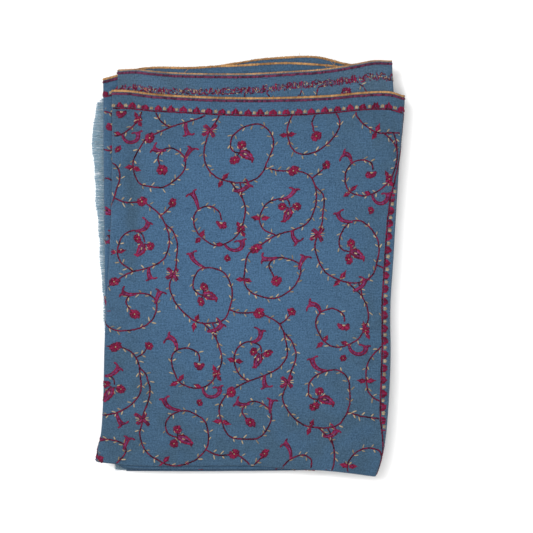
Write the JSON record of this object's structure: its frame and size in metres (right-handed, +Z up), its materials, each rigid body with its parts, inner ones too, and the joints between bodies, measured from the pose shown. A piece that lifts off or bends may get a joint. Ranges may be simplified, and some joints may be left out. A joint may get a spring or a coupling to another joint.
{
  "type": "folded embroidered stole",
  "caption": "Wool stole with scrolling vine embroidery, folded lengthways and across into a flat packet with a fringed end.",
  "frame": {"origin": "middle of the packet's bounding box, on the surface that it rests on", "axes": "+X along the stole's length, across the folded packet; +Y across the stole's width, towards the hemmed long edges; +Z up"},
  "size_m": [0.2877, 0.3891, 0.0206],
  "materials": {
    "cloth": "matt blue fine wool twill with silk embroidery",
    "fringe": "loose pale blue wool ends",
    "edging": "ochre silk overcast hem"
  },
  "bodies": {
    "root": {"top_panel": "cloth", "under_panel": "cloth", "third_panel": "cloth", "fourth_panel": "cloth", "side_strip": "cloth", "folded_core": "cloth", "base_panel": "cloth", "end_fringe": "fringe", "edging_top_panel": "edging", "edging_under_panel": "edging", "edging_third_panel": "edging", "edging_fourth_panel": "edging", "edging_side_strip": "edging"}
  },
  "joints": []
}
